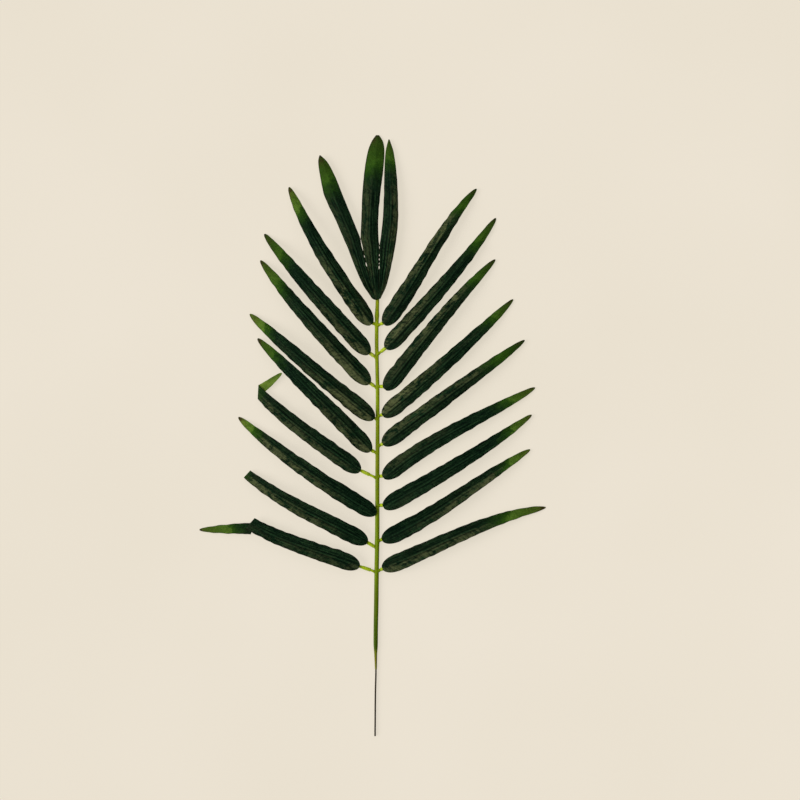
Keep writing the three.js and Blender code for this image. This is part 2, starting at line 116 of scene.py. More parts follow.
def smooth_step(start, end, value):
    """Nothing below the start, one above the end, and a soft rise between them."""
    t = min(max((value - start) / (end - start), 0.0), 1.0)
    return t * t * (3 - 2 * t)


def pick(*pieces):
    """Selects these pieces and nothing else, with the first one active."""
    bpy.ops.object.select_all(action="DESELECT")
    for piece in pieces:
        piece.select_set(True)
    if pieces:
        bpy.context.view_layer.objects.active = pieces[0]


def round_bar(name, sides, rings):
    """A closed bar through rings of (centre, direction, half width, half height, flat top)."""
    pick()
    bpy.ops.mesh.primitive_cylinder_add(vertices=sides, radius=1, depth=2, end_fill_type="NGON")
    bar = bpy.context.active_object
    bar.name = name
    bpy.ops.object.mode_set(mode="EDIT")
    bpy.ops.mesh.select_mode(type="EDGE")
    bpy.ops.mesh.select_all(action="DESELECT")
    bpy.ops.object.mode_set(mode="OBJECT")
    for edge in bar.data.edges:
        low, high = (bar.data.vertices[k].co.z for k in edge.vertices)
        edge.select = abs(high - low) > 1
    bpy.ops.object.mode_set(mode="EDIT")
    bpy.ops.mesh.subdivide(number_cuts=len(rings) - 2, smoothness=0)
    bpy.ops.object.mode_set(mode="OBJECT")
    for vertex in bar.data.vertices:
        turn = math.atan2(vertex.co.y, vertex.co.x)
        ring = round((vertex.co.z + 1) / 2 * (len(rings) - 1))
        centre, way, wide, high, flat = rings[ring]
        side = Vector((0, 0, 1)).cross(way).normalized()
        over = way.cross(side).normalized()
        rise = min(math.sin(turn), flat) * high
        vertex.co = centre + (side * math.cos(turn) * wide + over * rise) * MM
    return bar


def smooth(piece, degrees):
    """Shades a piece smooth, but for edges that turn more sharply than this."""
    pick(piece)
    bpy.ops.object.shade_smooth_by_angle(angle=math.radians(degrees))


def mount_piece(piece, slot, *nodes):
    """Fixes a piece to the leaf, in place of its CAD nodes."""
    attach(piece, "root")
    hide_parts(*nodes)


def new_finish(name, roughness, specular, metallic=0.0):
    """A material with its shader's plain values set, returned with its net of nodes."""
    finish = bpy.data.materials.new(name)
    finish.use_nodes = True
    net = finish.node_tree
    shader = net.nodes["Principled BSDF"]
    shader.inputs["Roughness"].default_value = roughness
    shader.inputs["Specular IOR Level"].default_value = specular
    shader.inputs["Metallic"].default_value = metallic
    return finish, net, shader


def add_node(net, kind, **settings):
    """A shader node with its sockets or its own settings given by name."""
    node = net.nodes.new(kind)
    for key, value in settings.items():
        if key in node.inputs:
            node.inputs[key].default_value = value
        else:
            setattr(node, key, value)
    return node


def srgb(red, green, blue):
    """A colour as it is seen, from 0 to 255, turned into the linear one that shaders take."""
    return tuple(
        (v / 255 / 12.92 if v <= 10.3 else ((v / 255 + 0.055) / 1.055) ** 2.4)
        for v in (red, green, blue)
    ) + (1.0,)


def feed(net, socket, value):
    """Sets a socket to a seen colour or a plain number, or joins it to another socket."""
    if isinstance(value, tuple):
        socket.default_value = srgb(*value)
    elif isinstance(value, (int, float)):
        socket.default_value = value
    else:
        net.links.new(value, socket)


def calc(net, operation, *values, clamp=False):
    """One step of arithmetic on sockets or plain numbers, returned as a socket."""
    node = add_node(net, "ShaderNodeMath", operation=operation, use_clamp=clamp)
    for k, value in enumerate(values):
        feed(net, node.inputs[k], value)
    return node.outputs[0]


def add_up(net, *parts):
    """Several patterns added together, each given as (pattern, share)."""
    total = calc(net, "MULTIPLY", *parts[0])
    for pattern, share in parts[1:]:
        total = calc(net, "MULTIPLY_ADD", pattern, share, total)
    return total


def ramp(net, factor, *stops):
    """Seen colours or grey levels laid along a factor, as stops of (place, colour)."""
    node = net.nodes.new("ShaderNodeValToRGB")
    row = node.color_ramp.elements
    while len(row) < len(stops):
        row.new(0.5)
    for element, (place, colour) in zip(row, stops):
        element.position = place
        element.color = srgb(*colour) if isinstance(colour, tuple) else (colour,) * 3 + (1,)
    net.links.new(factor, node.inputs["Fac"])
    return node.outputs["Color"]


def blend_colours(net, factor, below, above, mode="MIX"):
    """One colour laid over another. The Mix node keeps its colours in sockets 6, 7 and 2."""
    node = add_node(net, "ShaderNodeMix", data_type="RGBA", blend_type=mode, clamp_factor=True)
    for k, value in ((0, factor), (6, below), (7, above)):
        feed(net, node.inputs[k], value)
    return node.outputs[2]


def on_leaf(net):
    """The place of a point on the whole leaf, in metres."""
    return net.nodes.new("ShaderNodeTexCoord").outputs["Object"]


def split(net, place):
    """A place or colour taken apart into its three numbers."""
    node = net.nodes.new("ShaderNodeSeparateXYZ")
    net.links.new(place, node.inputs[0])
    return node.outputs


def cloud(net, place, scale, detail=4.0, roughness=0.55, distortion=0.0):
    """Soft blotches, with their number to the metre given by the scale."""
    node = add_node(net, "ShaderNodeTexNoise", Scale=scale, Detail=detail,
                    Roughness=roughness, Distortion=distortion)
    net.links.new(place, node.inputs["Vector"])
    return node.outputs["Fac"]


def stretch(net, place, scale):
    """The same place measured at another scale in each direction."""
    node = add_node(net, "ShaderNodeMapping", Scale=scale)
    net.links.new(place, node.inputs["Vector"])
    return node.outputs["Vector"]


def raise_bumps(net, shader, height, distance):
    """Gives a finish a relief this many metres high."""
    node = add_node(net, "ShaderNodeBump", Strength=1.0, Distance=distance)
    net.links.new(height, node.inputs["Height"])
    net.links.new(node.outputs["Normal"], shader.inputs["Normal"])


wire_rings = []
for y, radius in SNIPPED_END:
    wire_rings.append((in_frame(lean(y), y, AXIS_HEIGHT), ALONG_STEM, radius, radius, 1))
full_round = SNIPPED_END[-1][0]
for step in range(1, WIRE_STEPS + 1):
    y = full_round + (WIRE_TOP - full_round) * step / WIRE_STEPS
    kink = KINK_SIZE * math.sin(y / KINK_LENGTH) * smooth_step(*KINK_GROWS, y)
    kink *= 1 - smooth_step(*KINK_FADES, y)
    centre = in_frame(lean(y) + kink, y, AXIS_HEIGHT)
    wire_rings.append((centre, ALONG_STEM, WIRE_RADIUS, WIRE_RADIUS, 1))
wire = round_bar("wire", WIRE_SIDES, wire_rings)
for vertex in wire.data.vertices:
    if vertex.co.y < (foot_y + PINCHED_LENGTH) * MM:
        vertex.co.z = AXIS_HEIGHT * MM + (vertex.co.z - AXIS_HEIGHT * MM) * PINCHED_HEIGHT
smooth(wire, 40)

drawn_steel, net, shader = new_finish("drawn_steel", 0.55, 0.12, 0.05)
place = on_leaf(net)
along_wire = stretch(net, place, (900, 40, 900))
scale_skin = cloud(net, along_wire, 1.0, 5, 0.6)
patches = cloud(net, place, 160, 4, 0.6)
skin = ramp(net, scale_skin, (0.3, (26, 21, 9)), (0.62, (50, 42, 21)))
rust = ramp(net, patches, (0.56, 0.0), (0.7, 0.65))
rusted = blend_colours(net, rust, skin, (46, 32, 14))
net.links.new(rusted, shader.inputs["Base Color"])
net.links.new(ramp(net, patches, (0.35, 0.34), (0.7, 0.62)), shader.inputs["Roughness"])
raise_bumps(net, shader, scale_skin, 0.00003)
wire.data.materials.append(drawn_steel)
mount_piece(wire, "wire", "stem_wire")

# ------------------------------
# Stem. It is one moulding of soft yellow-green plastic round the wire: a slightly uneven rod
# with a mould line down each side, a narrow neck, side pegs and a spigot for the crown.

# The rod, as (height above the wire's foot, radius): a thin neck on the wire, a slight knot at
# the second pair of pegs, a swelling at the top pair and a shoulder for the crown's sleeve.
STEM_PROFILE = (
    (67, 0.9), (69, 1.0), (78, 1.25), (84.5, 1.45), (87.5, 1.95), (93, 2.1), (126, 2.2),
    (188, 2.15), (194, 2.35), (200, 2.15), (276, 1.95), (350, 1.8), (416, 1.8), (421, 2.3),
    (427, 1.8), (438.9, 1.75), (439.5, 1.6),
)
STEM_SIDES = 32
STEM_STEPS = 260
UNEVEN_SHARE = 0.022
UNEVEN_LENGTH = 11
MOULD_LINE = 0.1
MOULD_LINE_BAND = 0.12

SPIGOT_RADIUS = 1.1
SPIGOT_FOOT = 439.9
SPIGOT_SHOULDER = 445.4
SPIGOT_TOP = 446.0
SPIGOT_TIP_RADIUS = 0.7

# Each peg starts inside the rod, flares where it leaves it, rises a little and is aimed at a
# point on its leaflet's middle line. Its end is inside the sleeve that is pushed over it.
PEG_RADIUS = 1.28
PEG_RISE = 0.12
PEG_AIM = 4.0
PEG_IN_SLEEVE = 5.5
PEG_START = 0.7
PEG_STEPS = 14
PEG_CROWDING = 1.4
PEG_FLARE = 0.55
PEG_FLARE_LENGTH = 0.7
PEG_BLUNT = 0.3
PEG_SIDES = 16

# Leaflets, from the crown down: height of the peg's root and of the leaflet's base above the
# foot of the wire, distance of the base from the stem's axis, angle to the stem in degrees,
# straight length from base to tip or fold, sideways bow and sway, arch, height of the tip or
# fold, and how far the long edges hang. Then come the colour of the tip, from deep to light
# green, the length that it covers, and how much painted olive sheen lies near the base and far
# off.
LEFT_LEAFLETS = (
    (411, 412, 6.2, 30.9, 160.2, -4.9, 0.4, 13, 3, 1, 0.6, 32, 1.4, 0.0),
    (378, 382.7, 8.3, 41.2, 159.3, -1.4, 0.1, 14, 0.5, 0.2, 0.15, 34, 0.8, 0.0),
    (348, 352.8, 8, 41.5, 164.7, -2.7, 0.1, 11, 2.2, 1, 0.35, 36, 0.9, 0.1),
    (317, 317.5, 3.6, 49.8, 162.6, -1.4, -0.1, 12, 1.4, 1, 0.85, 26, 1.3, 0.1),
    (283, 285.3, 6.9, 45.1, 159.6, 0.6, 0.2, 14, 3, 0.1, 0.25, 29, 0.9, 0.0),
    (258, 265.3, 17.4, 52.3, 128.9, -2.4, 0.5, 6, 4, 1, 1.0, 30, 0.3, 0.6),
    (221, 222.5, 1.6, 54.9, 168.2, -4.1, 0.1, 9, 0.5, 1, 1.0, 25, 0.0, 0.75),
    (188, 194.1, 10.2, 60.4, 138.5, -3.1, 0.9, 9, 3.2, 0.4, 0.1, 23, 0.05, 0.95),
    (164, 170, 18.1, 68.5, 116.9, -2, 0.9, 2.5, 6.6, 0.2, 0.6, 36, 0.35, 0.15),
)
RIGHT_LEAFLETS = (
    (411, 411.9, 6.7, 34.2, 164.3, 1.6, -1.4, 9, 2.4, 1, 0.05, 30, 0.4, 1.0),
    (382, 387.9, 8.4, 40.1, 170.8, -3.2, 0.4, 8, 0.5, 0.8, 0.15, 37, 1.0, 0.05),
    (350, 347, 7.5, 40.3, 170.5, 2.7, -0.4, 9, 1.8, 1.1, 0.1, 36, 0.3, 0.8),
    (320, 320.6, 5.4, 48.2, 174.8, -2.4, -0.1, 7, 1.2, 0.4, 0.2, 34, 1.25, 0.1),
    (290, 292.2, 5.4, 53.7, 175.9, 0.4, 0.1, 8, 2.6, 1, 0.0, 42, 0.55, 0.65),
    (260, 258.8, 5.9, 59.3, 176.4, 4.2, 1.2, 7, 1, 0.1, 0.4, 37, 0.35, 0.0),
    (231, 229.3, 5.9, 58.1, 174.7, -2.8, 0.2, 8, 2, -0.5, 0.55, 32, 0.1, 0.0),
    (195, 196.5, 4.6, 58.6, 173.5, -2.6, -1.3, 7, 1.5, -1, 0.65, 31, 0.05, 0.7),
    (165, 168.1, 4.8, 69.6, 174.5, 4.8, -1.6, 7, 0.5, -0.7, 0.6, 48, 0.65, 0.55),
)


def read_straight(rows, position):
    """The value at one position on the straight lines through rows of (position, value)."""
    for (x0, y0), (x1, y1) in zip(rows, rows[1:]):
        if position <= x1:
            return y0 + (y1 - y0) * (position - x0) / (x1 - x0)
    return rows[-1][1]


def leaflet_place(side, number, row):
    """Where one leaflet and its peg lie. Sideways offsets are positive towards the crown."""
    keys = ("root_height", "foot", "reach", "angle", "length", "bow", "sway", "arch",
            "tip_height", "hang", "tip_light", "tip_reach", "bloom_near", "bloom_far")
    leaflet = SimpleNamespace(**dict(zip(keys, row)), side=side, number=number)
    turn = math.radians(leaflet.angle)
    leaflet.name = f"{'left' if side < 0 else 'right'}_{number}"
    leaflet.along = Vector((side * math.sin(turn), math.cos(turn), 0))
    leaflet.up = Vector((-side * math.cos(turn), math.sin(turn), 0))
    leaflet.base = Vector((side * leaflet.reach, leaflet.foot, 0))
    root = Vector((0, leaflet.root_height, 0))
    aim = leaflet.base + leaflet.along * PEG_AIM - root
    leaflet.peg_reach = aim.length
    leaflet.aim = aim.copy()
    leaflet.root = Vector((0, leaflet.root_height, AXIS_HEIGHT))
    aim.z = PEG_RISE * leaflet.peg_reach
    leaflet.peg = aim.normalized()
    return leaflet


# A sleeve's mouth stands clear of the rod, and further out on the two longest bare pegs.
SLEEVE_RADIUS = 1.8
SLEEVE_FROM_AXIS = 2.6
SLEEVE_STARTS = {"left_6": 9, "left_9": 7.5}
leaflets = [leaflet_place(-1, k + 1, row) for k, row in enumerate(LEFT_LEAFLETS)]
leaflets += [leaflet_place(1, k + 1, row) for k, row in enumerate(RIGHT_LEAFLETS)]
for leaflet in leaflets:
    clear = SLEEVE_FROM_AXIS * leaflet.peg_reach + SLEEVE_RADIUS * abs(leaflet.aim.y)
    leaflet.sleeve_start = SLEEVE_STARTS.get(leaflet.name, clear / abs(leaflet.aim.x))

stem_rings = []
stem_foot = STEM_PROFILE[0][0]
stem_top = STEM_PROFILE[-1][0]
for step in range(STEM_STEPS + 1):
    y = stem_foot + (stem_top - stem_foot) * step / STEM_STEPS
    uneven = 1 + UNEVEN_SHARE * noise.noise(Vector((y / UNEVEN_LENGTH, 0.3, 0.7)))
    radius = read_straight(STEM_PROFILE, y) * uneven
    stem_rings.append((in_frame(lean(y), y, AXIS_HEIGHT), ALONG_STEM, radius, radius, 1))
for y, radius in ((SPIGOT_FOOT, SPIGOT_RADIUS), (SPIGOT_SHOULDER, SPIGOT_RADIUS),
                  (SPIGOT_TOP, SPIGOT_TIP_RADIUS)):
    stem_rings.append((in_frame(0, y, AXIS_HEIGHT), ALONG_STEM, radius, radius, 1))
stem = round_bar("stem_moulding", STEM_SIDES, stem_rings)

# The mould line stands out at half height, and the back is cut flat where it lies on the table.
for vertex in stem.data.vertices:
    y = vertex.co.y / MM - foot_y
    off_axis = vertex.co.x / MM - axis_x - lean(y)
    level = vertex.co.z / MM - AXIS_HEIGHT
    if y < stem_top and abs(level) < MOULD_LINE_BAND:
        vertex.co.x += math.copysign(MOULD_LINE, off_axis) * MM
    vertex.co.z = max(vertex.co.z, 0.0)

pegs = []
for leaflet in leaflets:
    reach = leaflet.sleeve_start + PEG_IN_SLEEVE
    stem_radius = read_straight(STEM_PROFILE, leaflet.root_height)
    rings = []
    for step in range(PEG_STEPS + 1):
        out = PEG_START + (reach - PEG_START) * (step / PEG_STEPS) ** PEG_CROWDING
        flare = PEG_FLARE * math.exp(-max(out - stem_radius, 0) / PEG_FLARE_LENGTH)
        blunt = PEG_BLUNT if step == PEG_STEPS else 0
        centre = leaflet.root + leaflet.peg * out
        centre.x += lean(leaflet.root_height) * (1 - min(out / leaflet.sleeve_start, 1))
        radius = PEG_RADIUS + flare - blunt
        rings.append((in_frame(*centre), leaflet.peg, radius, radius, 1))
    pegs.append(round_bar("peg", PEG_SIDES, rings))
pick(*pegs)
bpy.ops.object.join()


def fuse(piece, other):
    """Joins two closed shapes into one moulding and removes the second object."""
    union = piece.modifiers.new("union", "BOOLEAN")
    union.operation = "UNION"
    union.solver = "EXACT"
    union.use_self = True
    union.object = other
    pick(piece)
    bpy.ops.object.modifier_apply(modifier=union.name)
    bpy.data.objects.remove(other)


fuse(stem, pegs[0])
smooth(stem, 50)

# The tints run along the leaf from its foot, in metres, and share this length between them.
TINT_FOOT = -0.3
TINT_LENGTH = 0.44

# The pegs are thin, so they let light through. They take their own colour this far off the axis.
THIN_FROM = 2.2
THIN_FULL = 5.0
THIN_SHARE = 0.9


def plastic_finish(name, dark, middle, light, pale, tints, thin=None):
    """Moulded plastic, streaked along the mould, tinted by height and paler where it is thin."""
    finish, net, shader = new_finish(name, 0.45, 0.07)
    place = on_leaf(net)
    along_mould = stretch(net, place, (700, 22, 700))
    streaks = cloud(net, along_mould, 1.0, 4, 0.6, 0.4)
    mottle = cloud(net, place, 120, 4, 0.6)
    body = ramp(net, streaks, (0.3, dark), (0.48, middle), (0.7, light))
    worn = ramp(net, mottle, (0.5, 0.0), (0.75, 0.6))
    body = blend_colours(net, worn, body, pale)
    height = calc(net, "MULTIPLY_ADD", split(net, place)["Y"], 1 / TINT_LENGTH,
                  -TINT_FOOT / TINT_LENGTH, clamp=True)
    tint = ramp(net, height, *tints)
    body = blend_colours(net, 1.0, body, tint, "MULTIPLY")
    if thin:
        off_rod = add_node(net, "ShaderNodeAttribute", attribute_name="off_rod")
        body = blend_colours(net, off_rod.outputs["Fac"], body, thin)
    net.links.new(body, shader.inputs["Base Color"])
    net.links.new(ramp(net, mottle, (0.3, 0.36), (0.7, 0.52)), shader.inputs["Roughness"])
    raise_bumps(net, shader, streaks, 0.00006)
    shader.inputs["Subsurface Weight"].default_value = 0.04
    shader.inputs["Subsurface Radius"].default_value = (0.0012, 0.0014, 0.0004)
    return finish


stem_plastic = plastic_finish(
    "stem_plastic", (118, 120, 8), (138, 156, 8), (158, 180, 22), (160, 156, 36),
    ((0.165, (184, 166, 255)), (0.19, (186, 176, 220)), (0.2, (122, 148, 20)),
     (0.31, (150, 168, 40)), (0.36, (182, 196, 80)), (0.62, (208, 214, 200)),
     (1.0, (255, 255, 255))),
    thin=(172, 192, 24),
)
off_rod = stem.data.attributes.new("off_rod", "FLOAT", "POINT")
for vertex, share in zip(stem.data.vertices, off_rod.data):
    off_axis = vertex.co.x / MM - axis_x - lean(vertex.co.y / MM - foot_y)
    share.value = THIN_SHARE * smooth_step(THIN_FROM, THIN_FULL, abs(off_axis))
stem.data.materials.append(stem_plastic)
mount_piece(stem, "stem_plastic", "stem")

# ------------------------------
# Leaflet cloth. Each leaflet is a strip of coated cloth, round at the base and pointed at the
# tip, cut with a hot die so that its edges are dark. It is glued on its rib and keeps an arch.

CLOTH_THICKNESS = 0.3
CLOTH_BASE_HEIGHT = 5.4
CAD_CLOTH_THICKNESS = 0.7
CLEARANCE = 0.45
BASE_ROUND = 17.0
TIP_WIDTH = 1.2
TAPER_POWER = 0.45

# The two dies, as (width of the strip, how much it swells on the way to the tip).
LEFT_CUT = (17.4, 0.36)
RIGHT_CUT = (17.8, 0.18)

# The long edges hang below the middle line, evenly and then more steeply. They ripple, and they
# flutter in two sizes: (height, power of the distance from the middle, slant, length, shift).
EDGE_FALL = 0.16
EDGE_ROLL = 0.012
RIPPLE_HEIGHT = 0.55
RIPPLE_LENGTH = 26.0
FLUTTERS = ((0.6, 1.5, 0.7, 4.6, 0), (0.9, 1.3, 0.9, 10.3, 4))
FLUTTER_ACROSS = 14
BUCKLE_HEIGHT = 0.5
BUCKLE_SIZE = (17, 7)
NIBBLE_SHARE = 0.1
NIBBLE_LENGTH = 7

# The rib's ridge in the cloth, the hollow beside it, and where the rib ends under the cloth.
RIDGE_HEIGHT = 0.32
RIDGE_WIDTH = 0.75
HOLLOW_DEPTH = 0.2
HOLLOW_WIDTH = 0.8
HOLLOW_FROM_RIDGE = 1.9
RIB_END = 107.0

FOLD_RADIUS = 0.55
FOLD_STEPS = 8
SWAY_FULL = 10.39

# The grid of a strip: rows crowd towards the base and the tip, given as distances from them.
BASE_ROWS = (0, 0.15, 0.45, 0.9, 1.5, 2.3, 3.2, 4.3, 5.5, 6.8, 8.2, 9.6, 11, 12.4)
TIP_ROWS = (10.6, 9.2, 7.8, 6.4, 5, 3.7, 2.6, 1.7, 1, 0.45, 0)
TIP_ZONE = 12
ROW_STEP = 1.4
CLOTH_COLUMNS = 31
COLUMN_CROWDING = 0.28

# The width and length of cloth that the pattern's map covers.
MAP_WIDTH = 20
MAP_LENGTH = 200

# The folded leaflets: length of the cut strip, how wide its far end looks as it stands tilted,
# and each fold as (distance from the base, slant in degrees, over or under).
FOLDED_LEAFLETS = {
    "left_6": {"cloth": 160, "tilted": 0.92, "folds": ((128.3, 41, 1),)},
    "left_8": {"cloth": 162, "tilted": 1, "folds": ((137.8, -4, 1),)},
    "left_9": {"cloth": 178, "tilted": 0.92, "folds": ((117, -12, 1), (123.2, -28, -1))},
}

for leaflet in leaflets:
    folded = FOLDED_LEAFLETS.get(leaflet.name, {})
    leaflet.cloth = folded.get("cloth", leaflet.length)
    leaflet.tilted = folded.get("tilted", 1)
    leaflet.folds = folded.get("folds", ())
    leaflet.cut = LEFT_CUT if leaflet.side < 0 else RIGHT_CUT
    sleeve_top = AXIS_HEIGHT + PEG_RISE * leaflet.peg_reach + SLEEVE_RADIUS
    above_sleeve = sleeve_top + CLEARANCE + CAD_CLOTH_THICKNESS / 2
    leaflet.base_height = max(above_sleeve, CLOTH_BASE_HEIGHT)
    leaflet.phase = 1.7 * leaflet.number + (0.6 if leaflet.side < 0 else 2.9)


def fold_over(point, flat, fold):
    """Carries (a, b, lift) of the flat strip round one fold at (distance, slant, way)."""
    distance, slant, way = fold
    near_a, near_b = math.cos(math.radians(slant)), -math.sin(math.radians(slant))
    on_strip = (flat[0] - distance) * near_a + flat[1] * near_b
    if on_strip <= 0:
        return point
    a, b, lift = point
    past = (a - distance) * near_a + b * near_b
    lift *= way
    half_turn = math.pi * FOLD_RADIUS
    out, height = half_turn - past, -2 * FOLD_RADIUS - lift
    if on_strip < half_turn:
        out = (FOLD_RADIUS + lift) * math.sin(past / FOLD_RADIUS)
        height = -FOLD_RADIUS + (FOLD_RADIUS + lift) * math.cos(past / FOLD_RADIUS)
    return a + (out - past) * near_a, b + (out - past) * near_b, way * height


def on_leaflet(leaflet, a, b, lift):
    """The point of a leaflet's middle surface for a place on the flat strip."""
    flat = (a, b)
    for fold in reversed(leaflet.folds):
        a, b, lift = fold_over((a, b, lift), flat, fold)
    length, bow, sway, arch = leaflet.length, leaflet.bow, leaflet.sway, leaflet.arch
    s = a / length
    inside = min(s, 1)
    past, bend = s - inside, 1 - 2 * inside
    side_slope = bow * 4 * bend + sway * SWAY_FULL * (1 - 6 * inside + 6 * inside * inside)
    sideways = bow * 4 * inside * (1 - inside) + side_slope * past
    sideways += sway * SWAY_FULL * inside * (1 - inside) * bend
    height = leaflet.base_height + (leaflet.tip_height - leaflet.base_height) * s
    height += arch * 4 * inside * (1 - inside) + arch * 4 * bend * past
    across = (leaflet.up - leaflet.along * (side_slope / length)).normalized()
    place = leaflet.base + leaflet.along * a + leaflet.up * sideways + across * b
    return in_frame(place.x, place.y, max(height + lift, CLOTH_THICKNESS * 0.6))


def half_width(leaflet, a):
    """Half the width of the cut strip at a distance from its base."""
    s = a / leaflet.cloth
    round_base = math.sqrt(1 - (1 - min((a + 0.35) / BASE_ROUND, 1)) ** 2)
    width, swell = leaflet.cut
    last_fold = leaflet.folds[-1][0] if leaflet.folds else 1000
    tilt = 1 + (leaflet.tilted - 1) * smooth_step(last_fold - 6, last_fold + 6, a)
    across = width * (1 - s) ** TAPER_POWER * (1 + swell * s) * round_base * tilt
    return max(across, TIP_WIDTH) / 2


def fold_room(leaflet, a):
    """The share of its relief that the cloth keeps here. It lies flat beside a fold."""
    gap = min([abs(a - fold[0] - 2) for fold in leaflet.folds], default=100)
    return smooth_step(4, 16, gap)


def cloth_relief(leaflet, a, b, half):
    """Height of the cloth over its middle surface: hanging edges, ripples and flutter."""
    edge = abs(b) / half
    seed = leaflet.phase
    wave = math.sin(2 * math.pi * a / RIPPLE_LENGTH + seed + (1.4 if b > 0 else 0))
    ripple = RIPPLE_HEIGHT * edge**2 * wave * smooth_step(6, 25, a)
    near_tip = smooth_step(0, 25, leaflet.cloth - a)
    flutter = 0.0
    for high, power, slant, long, shift in FLUTTERS:
        spot = Vector(((a + slant * abs(b)) / long, seed + shift, b / FLUTTER_ACROSS))
        flutter += high * edge**power * noise.noise(spot)
    spot = Vector((a / BUCKLE_SIZE[0], b / BUCKLE_SIZE[1], seed + 9))
    flutter += BUCKLE_HEIGHT * edge * noise.noise(spot)
    fall = leaflet.hang * (EDGE_FALL * abs(b) + EDGE_ROLL * b * b)
    fall *= 0.5 + 0.5 * smooth_step(4, 24, a)
    relief = (ripple + flutter * smooth_step(2, 14, a)) * near_tip - fall
    return relief * fold_room(leaflet, a)


def ridge(leaflet, a, b):
    """The rib presses a narrow ridge up through the cloth, with a hollow along each side."""
    there = smooth_step(5, 12, a) * (1 - smooth_step(RIB_END - 12, RIB_END + 3, a))
    crest = RIDGE_HEIGHT * math.exp(-((b / RIDGE_WIDTH) ** 2))
    off_hollow = (abs(b) - HOLLOW_FROM_RIDGE) / HOLLOW_WIDTH
    return there * (crest - HOLLOW_DEPTH * math.exp(-(off_hollow**2)))


def cloth_rows(leaflet):
    """Rows of the strip as (distance, slant). They close up at folds and turn with them."""
    rows = [(a, 0.0) for a in BASE_ROWS]
    at = BASE_ROWS[-1]
    before = None
    folds = list(leaflet.folds)
    for stop in [fold[0] for fold in folds] + [leaflet.cloth - TIP_ZONE]:
        fold = folds.pop(0) if folds else None
        steps = max(round((stop - at) / ROW_STEP), 1)
        for k in range(1, steps + 1):
            a = at + (stop - at) * k / steps
            slant = smooth_step(fold[0] - 20, fold[0], a) * fold[1] if fold else 0.0
            if before and not fold:
                slant = (1 - smooth_step(at, at + 18, a)) * before[1]
            if before and fold:
                slant = before[1] + (fold[1] - before[1]) * k / steps
            rows.append((a, slant))
        if fold:
            turn = math.pi * FOLD_RADIUS
            for k in range(1, FOLD_STEPS + 1):
                rows.append((fold[0] + turn * k / FOLD_STEPS, fold[1]))
            at, before = fold[0] + turn, fold
    return rows + [(leaflet.cloth - left, 0.0) for left in TIP_ROWS]


def cloth_strip(name, rows, columns, place):
    """A flat grid laid into shape. place(row, share) gives a point and its (b, a, left)."""
    pick()
    bpy.ops.mesh.primitive_grid_add(x_subdivisions=columns - 1, y_subdivisions=rows - 1, size=2)
    strip = bpy.context.active_object
    strip.name = name
    mesh = strip.data
    facts = []
    for vertex in mesh.vertices:
        column = round((vertex.co.x + 1) / 2 * (columns - 1))
        row = round((vertex.co.y + 1) / 2 * (rows - 1))
        share = 2 * column / (columns - 1) - 1
        crowded = share * (1 - COLUMN_CROWDING + COLUMN_CROWDING * share * share)
        point, fact = place(row, crowded)
        vertex.co = point
        facts.append((*fact, share))
    cloth_map = mesh.uv_layers[0]
    cloth_map.name = "cloth"
    cut_map = mesh.uv_layers.new(name="cut")
    for loop in mesh.loops:
        b, a, left, share = facts[loop.vertex_index]
        cloth_map.data[loop.index].uv = (b / MAP_WIDTH + 0.5, a / MAP_LENGTH)
        cut_map.data[loop.index].uv = (share / 2 + 0.5, left / MAP_LENGTH)
    return strip


def thicken(strip, materials):
    """Gives the cloth its thickness, with a finish each for its face, back and cut edge."""
    for material in materials:
        strip.data.materials.append(material)
    solid = strip.modifiers.new("thickness", "SOLIDIFY")
    solid.thickness = CLOTH_THICKNESS * MM
    solid.offset = 0
    solid.use_even_offset = False
    solid.material_offset = 1
    solid.material_offset_rim = 2
    pick(strip)
    bpy.ops.object.modifier_apply(modifier=solid.name)
    smooth(strip, 60)


def note_dye_and_sheen(strip, **facts):
    """Writes how this piece of cloth took the dye, and how much painted sheen it has on which
    half, for its finish to read.
    """
    for key, value in facts.items():
        spread = strip.data.attributes.new(key, "FLOAT", "POINT")
        spread.data.foreach_set("value", [value] * len(strip.data.vertices))


def on_map(net, name):
    """The place of a point on one of the cloth's maps."""
    return add_node(net, "ShaderNodeUVMap", uv_map=name).outputs["UV"]


# The dyes of the face and its painted sheen, highlight and shade, as stops of (place, seen
# colour). The tips run from the point inwards.
BODY_GREENS = ((0.38, (1, 14, 6)), (0.5, (11, 32, 17)), (0.64, (36, 62, 35)))
LIGHT_TIP = (
    (0.0, (66, 50, 28)), (0.035, (84, 78, 34)), (0.09, (98, 114, 40)), (0.22, (94, 122, 38)),
    (0.37, (100, 132, 46)), (0.42, (46, 82, 16)), (0.55, (36, 70, 18)), (0.72, (10, 30, 14)),
)
DEEP_TIP = (
    (0.0, (40, 30, 20)), (0.05, (42, 48, 16)), (0.12, (38, 62, 14)), (0.25, (38, 68, 12)),
    (0.37, (48, 84, 18)), (0.45, (34, 66, 14)), (0.6, (16, 44, 14)), (0.85, (6, 26, 12)),
)
DULL_TIP = (44, 62, 22)
CREASED_TIP = (30, 60, 14)
# Painted olive sheen for the lit half of the face.
OLIVE_SHEEN = (88, 94, 60)
# Painted shade for the dents in the cloth.
DENT_SHADE = (3, 15, 8)
# Painted shade beside the rib's ridge, and a painted highlight on the ridge.
RIDGE_HOLLOW_SHADE = (2, 13, 6)
RIDGE_HIGHLIGHT = (34, 62, 38)
SCORCHED = (24, 20, 12)
CREASE_SLANT = math.radians(38)


